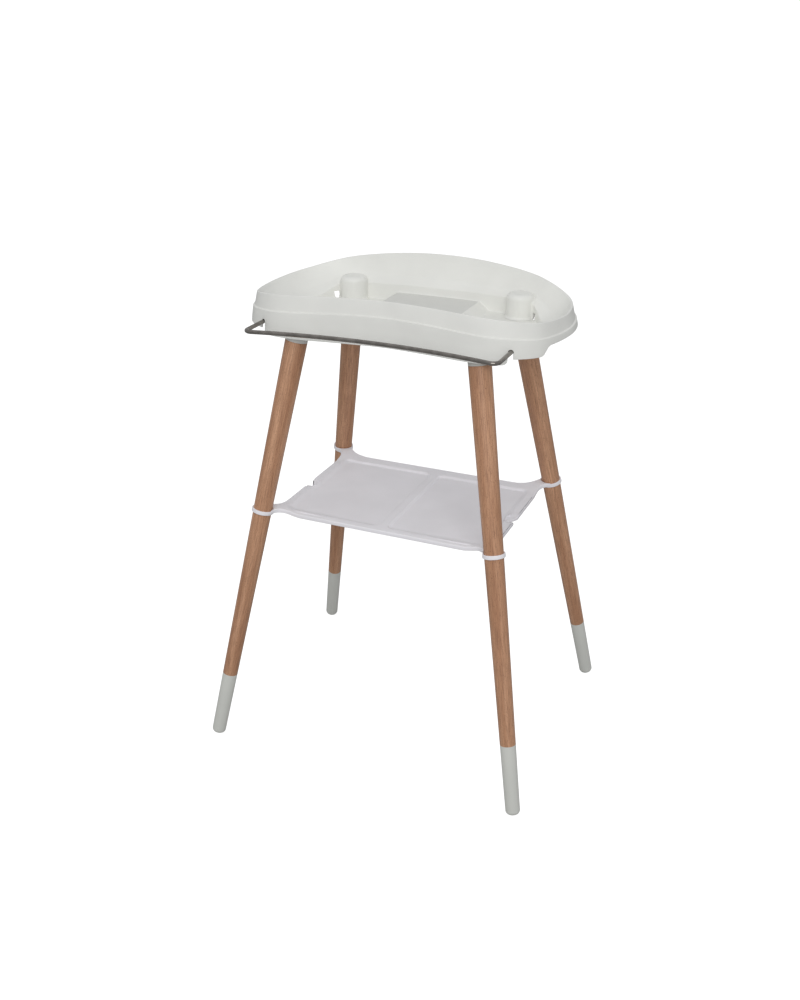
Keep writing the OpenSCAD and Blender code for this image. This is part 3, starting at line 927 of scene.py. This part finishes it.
SHELF_X = 233 * MM
SHELF_Y = 165 * MM
SHELF_Z = 508 * MM
SHELF_EDGE = 9 * MM
SHELF_EDGE_ROUND = 1.9 * MM
RING_LOW = 510 * MM
RING_HIGH = 520 * MM
RING_WALL = 3.2 * MM
RING_CLEAR = 0.3 * MM
RING_TRIM = 1.2 * MM
WEB_R = 30 * MM
ARM_LENGTH = 55 * MM
PAN_DEPTH = 5 * MM
PAN_BACK_SLOPE = 5 * MM
PAN_FRONT_SLOPE = 16 * MM
PAN_SIDE_SLOPE = 14 * MM
PAN_FRONT = 13 * MM
PAN_BACK = 27 * MM
PAN_SIDE = 15 * MM
PAN_MID = 8 * MM
PAN_CORNER_R = 16 * MM
NOTCH_Y = -21 * MM
NOTCH_LENGTH = 26 * MM
NOTCH_DEPTH = 12 * MM
NOTCH_ROUND = 1.5 * MM
NOTCH_LEAD = 8 * MM
THUMB_R = 22 * MM
THUMB_DEPTH = 2.6 * MM
THUMB_RIDGE = 1.5 * MM
THUMB_RIDGE_W = 1.5 * MM
RIDGE_FADE = 4 * MM
THUMB_AT_Y = -10 * MM
THUMB_EDGE = 2.4 * MM
UNDER_LIP = 4 * MM
UNDER_HOLLOW = 1 * MM
UNDER_CORNER_R = 6 * MM
UNDER_SLOPE = 2 * MM
# Within this of a ring, the shelf leans with its leg
RING_HOLD = 20 * MM
# An edge is a rim when it joins a level face to one whose normal's Z is below this
RIM_LIMIT = 0.9
# The corner arms rise to this height at their rings
ARM_TOP = RING_HIGH - RING_TRIM - 0.6 * MM
SHEET_STEP = 7 * MM


def shelf_rings():
    """Each ring's middle in plan, and its outer radius."""
    middle_z = (RING_LOW + RING_HIGH) / 2
    made = {}
    for leg, axis in axes.items():
        place = axis.at_height(middle_z)
        made[leg] = (place.xy, axis.radius(middle_z / axis.up[2]) + RING_WALL)
    return made


RINGS = shelf_rings()


def shelf_quarter():
    """The shelf's outline round its rear right corner, from the middle of the back to the
    middle of the side, with the sweep out to the ring."""
    centre, ring_r = RINGS["rear_right"]
    reach = WEB_R + ring_r
    web_1 = Vector((centre.x - sqrt(reach ** 2 - (SHELF_Y + WEB_R - centre.y) ** 2),
                    SHELF_Y + WEB_R))
    web_2 = Vector((SHELF_X + WEB_R,
                    centre.y - sqrt(reach ** 2 - (SHELF_X + WEB_R - centre.x) ** 2)))
    to_1 = centre - web_1
    to_2 = centre - web_2
    inner = ring_r - 0.55 * RING_WALL
    angle_1 = atan2(-to_1.y, -to_1.x)
    angle_2 = atan2(-to_2.y, -to_2.x)
    turn = (angle_2 - angle_1) % (2 * pi)
    points = [Vector((x, SHELF_Y)) for x in np.linspace(0, web_1.x, 12, endpoint=False)]
    points += arc(web_1, WEB_R, -pi / 2, atan2(to_1.y, to_1.x), 16)
    points += arc(centre, inner, angle_1, angle_1 + turn, 14)
    points += arc(web_2, WEB_R, atan2(to_2.y, to_2.x), -pi if to_2.y < 0 else pi, 16)
    points += [Vector((SHELF_X, y)) for y in np.linspace(web_2.y, 0, 8, endpoint=False)[1:]]
    return points


def side_notch():
    """The notch in the shelf's right side: a square front face, sloping out to the back,
    with a straight stretch of the side before and after it."""
    return rounded([(SHELF_X, NOTCH_Y - NOTCH_LEAD, 0),
                    (SHELF_X, NOTCH_Y, NOTCH_ROUND),
                    (SHELF_X - NOTCH_DEPTH, NOTCH_Y, NOTCH_ROUND),
                    (SHELF_X, NOTCH_Y + NOTCH_LENGTH, NOTCH_ROUND),
                    (SHELF_X, NOTCH_Y + NOTCH_LENGTH + NOTCH_LEAD, 0)], steps=4, closed=False)


def shelf_outline():
    """The whole outline, anticlockwise, with a notch in each side."""
    quarter = shelf_quarter()
    low = NOTCH_Y - NOTCH_LEAD - 1 * MM
    high = NOTCH_Y + NOTCH_LENGTH + NOTCH_LEAD + 1 * MM
    lower = [Vector((p.x, -p.y)) for p in quarter if p.x < SHELF_X - MM or -p.y < low]
    upper = [p for p in reversed(quarter) if p.x < SHELF_X - MM or p.y > high]
    half = lower + side_notch() + upper
    loop = half + [Vector((-p.x, p.y)) for p in reversed(half)]
    return [p for i, p in enumerate(loop) if (p - loop[i - 1]).length > 0.02 * MM]


def inside_distance(x, y, low, high, corner):
    """How far a point is inside a rectangle with rounded corners; negative outside."""
    middle = ((low[0] + high[0]) / 2, (low[1] + high[1]) / 2)
    half = ((high[0] - low[0]) / 2 - corner, (high[1] - low[1]) / 2 - corner)
    dx, dy = abs(x - middle[0]) - half[0], abs(y - middle[1]) - half[1]
    return corner - (hypot(max(dx, 0), max(dy, 0)) + min(max(dx, dy), 0))


PAN_LOW = (PAN_MID, -SHELF_Y + PAN_FRONT)
PAN_HIGH = (SHELF_X - PAN_SIDE, SHELF_Y - PAN_BACK)
PAN_LOOPS = [d * MM for d in (-1.2, -0.4, 0.6, 1.6, 2.6, 3.6, 4.6, 5.6, 8, 11, 14.5)]
THUMB_LOOPS = [d * MM for d in (-1.0, 0.0, 0.8, 1.6, 2.4, 3.4)]


def thumb_distance(x, y):
    """How far a point is inside the half-round thumb recess at either side."""
    return THUMB_R - hypot(abs(x) - SHELF_X, y - THUMB_AT_Y)


def ring_distance(x, y):
    """The distance from the nearest ring's outside, and that ring's leg."""
    return min((hypot(x - c.x, y - c.y) - r, leg) for leg, (c, r) in RINGS.items())


def shelf_lift(x, y):
    """How much the shelf's corner arms have risen towards their rings."""
    return (ARM_TOP - SHELF_Z) * ease(1 - ring_distance(x, y)[0] / ARM_LENGTH)


def shelf_dip(x, y):
    """The depth of the pans and thumb recesses below the shelf's top, less the ridge that
    runs round a thumb recess inside its pan."""
    pan = inside_distance(abs(x), y, PAN_LOW, PAN_HIGH, PAN_CORNER_R)
    thumb = thumb_distance(x, y)
    pan_dip = PAN_DEPTH * ease(pan / PAN_BACK_SLOPE)
    pan_dip *= ease((y - PAN_LOW[1]) / PAN_FRONT_SLOPE)
    pan_dip *= ease((PAN_HIGH[0] - abs(x)) / PAN_SIDE_SLOPE)
    thumb_dip = THUMB_DEPTH * ease(thumb / THUMB_EDGE)
    ridge = THUMB_RIDGE * exp(-(thumb / THUMB_RIDGE_W) ** 2) * ease(pan / RIDGE_FADE)
    return max(pan_dip, thumb_dip) - ridge


def rounded_rectangle(low, high, corner, grow):
    """A closed loop round a rectangle with rounded corners, moved inwards by grow."""
    radius = max(corner - grow, 1 * MM)
    x0, y0, x1, y1 = low[0] + grow, low[1] + grow, high[0] - grow, high[1] - grow
    made = []
    for cx, cy, first in ((x1 - radius, y0 + radius, -pi / 2), (x1 - radius, y1 - radius, 0),
                          (x0 + radius, y1 - radius, pi / 2), (x0 + radius, y0 + radius, pi)):
        bend = arc((cx, cy), radius, first, first + pi / 2, 8)
        if made:
            gap = bend[0] - made[-1]
            count = max(int(gap.length / SHEET_STEP), 1)
            made += [made[-1].lerp(bend[0], k / count) for k in range(1, count)]
        made += bend
    return made


def shelf_sheet():
    """The shelf's plan as triangles, with lines of points along everything that bends."""
    outline = shelf_outline()
    points = list(outline)
    edges = [(i, (i + 1) % len(outline)) for i in range(len(outline))]

    def add_loop(loop):
        first = len(points)
        points.extend(loop)
        edges.extend((first + i, first + (i + 1) % len(loop)) for i in range(len(loop)))

    for side in (-1, 1):
        for grow in PAN_LOOPS:
            loop = rounded_rectangle(PAN_LOW, PAN_HIGH, PAN_CORNER_R, grow)
            add_loop([Vector((side * p.x, p.y)) for p in loop])
    past = 60 * MM
    for x in np.arange(-SHELF_X - past, SHELF_X + past, SHEET_STEP):
        for y in np.arange(-SHELF_Y - past, SHELF_Y + past, SHEET_STEP):
            if ring_distance(x, y)[0] > RING_CLEAR:
                points.append(Vector((x, y)))
    for side in (-1, 1):
        for grow in THUMB_LOOPS:
            radius = THUMB_R - grow
            for p in arc((SHELF_X, THUMB_AT_Y), radius, pi / 2, 3 * pi / 2, 26):
                if p.x < SHELF_X - NOTCH_DEPTH - 1 * MM:
                    points.append(Vector((side * p.x, p.y)))
    found = delaunay_2d_cdt(points, edges, [list(range(len(outline)))], 1, 1e-6)
    return found[0], found[2]


def shelf_plate(shape):
    """The flat sheet made into a plate with rounded edges, then shaped point by point."""
    verts, faces = shelf_sheet()
    made = [shape.verts.new((p.x, p.y, SHELF_Z)) for p in verts]
    for face in faces:
        shape.faces.new([made[i] for i in face])
    loose = [v for v in shape.verts if not v.link_faces]
    bmesh.ops.delete(shape, geom=loose, context="VERTS")
    top = list(shape.faces)
    pulled = bmesh.ops.extrude_face_region(shape, geom=top)
    for v in pulled["geom"]:
        if isinstance(v, bmesh.types.BMVert):
            v.co.z -= SHELF_EDGE
    bmesh.ops.recalc_face_normals(shape, faces=shape.faces)
    rims = []
    for flat, upright in ((0, 1), (1, 0)):
        rims += [e for e in shape.edges if len(e.link_faces) == 2
                 and abs(e.link_faces[flat].normal.z) > RIM_LIMIT
                 and abs(e.link_faces[upright].normal.z) < RIM_LIMIT]
    bmesh.ops.bevel(shape, geom=rims, offset=SHELF_EDGE_ROUND, segments=4, profile=0.5,
                    affect="EDGES")
    under_low = (PAN_MID / 2, -SHELF_Y + UNDER_LIP)
    under_high = (SHELF_X - UNDER_LIP, SHELF_Y - UNDER_LIP)
    for v in shape.verts:
        x, y, z = v.co
        lift = shelf_lift(x, y)
        top_share = ease((z - SHELF_Z + SHELF_EDGE) / SHELF_EDGE)
        under = inside_distance(abs(x), y, under_low, under_high, UNDER_CORNER_R)
        dip = shelf_dip(x, y) * top_share
        hollow = UNDER_HOLLOW * ease(under / UNDER_SLOPE) * (1 - top_share)
        v.co.z = z + lift - dip + hollow
        gap, leg = ring_distance(x, y)
        lean = axes[leg].at_height(v.co.z) - axes[leg].at_height((RING_LOW + RING_HIGH) / 2)
        hold = ease(1 - gap / RING_HOLD)
        v.co.x += lean.x * hold
        v.co.y += lean.y * hold


def shelf_ring(shape, axis):
    """The band round a leg that locks the shelf to it."""
    low = (RING_LOW + RING_TRIM) / axis.up[2]
    high = (RING_HIGH - RING_TRIM) / axis.up[2]
    inner = [axis.radius(s) + RING_CLEAR for s in (low, high)]
    outer = axis.radius(high) + RING_WALL
    corners = [(inner[0], low, 0.6 * MM), (outer, low, 1.1 * MM), (outer, high, 1.1 * MM),
               (inner[1], high, 0.6 * MM)]
    profile = rounded(corners, steps=4)
    sides = 96
    rings = [[shape.verts.new(axis.frame @ Vector((p.x * cos(a), p.x * sin(a), p.y)))
              for p in profile] for a in (2 * pi * k / sides for k in range(sides))]
    band(shape, rings, wrap_rings=True)


def make_shelf():
    shape = bmesh.new()
    shelf_plate(shape)
    for leg in LEGS:
        shelf_ring(shape, axes[leg])
    add_object("shelf_moulding", shape, shelf_finish,
               replaces=["shelf"], crease=44)


# ---------------------------------------------------------------- towel rail

RAIL_FRONT = 188 * MM
RAIL_BOW = 29 * MM
RAIL_CORNER_R = 12 * MM
PIVOT_Y = -127 * MM
PIVOT_CORNER_R = 9 * MM
PIVOT_L = 22 * MM
ROD_SIDES = 24
ROD_END_ROUND = 1 * MM
ROD_END_STEPS = 4


def rail_path():
    """The rod's centre line in plan, from the left pivot's end to the right one's."""
    bow_half = RAIL_X - RAIL_CORNER_R
    bow_r = (RAIL_X ** 2 + RAIL_BOW ** 2) / (2 * RAIL_BOW)
    bow_cy = -RAIL_FRONT - bow_r
    reach = bow_r + RAIL_CORNER_R
    corner_y = bow_cy + sqrt(reach ** 2 - bow_half ** 2)
    half_angle = asin(bow_half / reach)
    half = arc((0, bow_cy), bow_r, pi / 2, pi / 2 - half_angle, 40)
    half += arc((bow_half, corner_y), RAIL_CORNER_R, -pi / 2 - half_angle, 0, 18)[1:]
    half += arc((RAIL_X - PIVOT_CORNER_R, PIVOT_Y - PIVOT_CORNER_R), PIVOT_CORNER_R,
                0, pi / 2, 14)
    half.append(Vector((RAIL_X - PIVOT_CORNER_R - PIVOT_L, PIVOT_Y)))
    return [Vector((-p.x, p.y)) for p in reversed(half[1:])] + half


def rail_sections():
    """The rod's rings, as (middle, direction along the rod, radius), with rounded ends."""
    path = rail_path()
    last = len(path) - 1
    ways = [(path[min(i + 1, last)] - path[max(i - 1, 0)]).normalized() for i in range(last + 1)]
    ends = []
    for k in range(ROD_END_STEPS, -1, -1):
        angle = pi / 2 * k / ROD_END_STEPS
        ends.append((ROD_END_ROUND * (1 - sin(angle)), RAIL_R - ROD_END_ROUND * (1 - cos(angle))))
    made = [(path[0] + ways[0] * back, ways[0], radius) for back, radius in ends]
    made += [(p, way, RAIL_R) for p, way in zip(path[1:-1], ways[1:-1])]
    made += [(path[-1] - ways[-1] * back, ways[-1], radius) for back, radius in reversed(ends)]
    return made


def make_rail():
    """One bent rod of round steel."""
    shape = bmesh.new()
    rings = []
    for middle, way, radius in rail_sections():
        across = Vector((-way.y, way.x))
        ring = []
        for k in range(ROD_SIDES):
            angle = 2 * pi * k / ROD_SIDES
            place = middle + across * radius * cos(angle)
            ring.append(shape.verts.new((place.x, place.y, RAIL_Z + radius * sin(angle))))
        rings.append(ring)
    band(shape, rings)
    shape.faces.new(rings[0])
    shape.faces.new(rings[-1])
    add_object("bent_rail", shape, rail_finish, body="rail",
               replaces=["towel_rail"], crease=60)


# ---------------------------------------------------------------- carried-over CAD nodes

def finish_cad_nodes():
    """Gives each CAD node that stays in sight its own procedural finish."""
    finishes = {"leg_plug": fitting_finish, "hanger_bolt": zinc_finish,
                "captive_nut": brass_finish, "rail_bearing": fitting_finish,
                "bearing_screws": zinc_finish}
    for name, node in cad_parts.items():
        for prefix, finish in finishes.items():
            if name.startswith(prefix):
                node.data.materials.clear()
                node.data.materials.append(finish)


def make_floor():
    shape = bmesh.new()
    bmesh.ops.create_circle(shape, cap_ends=True, radius=FLOOR_RADIUS, segments=128)
    floor = add_object("studio_floor", shape, floor_finish(), body=None)
    floor.location.z = cad_low.z


make_camera()
make_lights()
make_floor()
for leg_axis in axes.values():
    make_leg(leg_axis)
    make_sleeve(leg_axis)
make_tray()
make_shelf()
make_rail()
finish_cad_nodes()
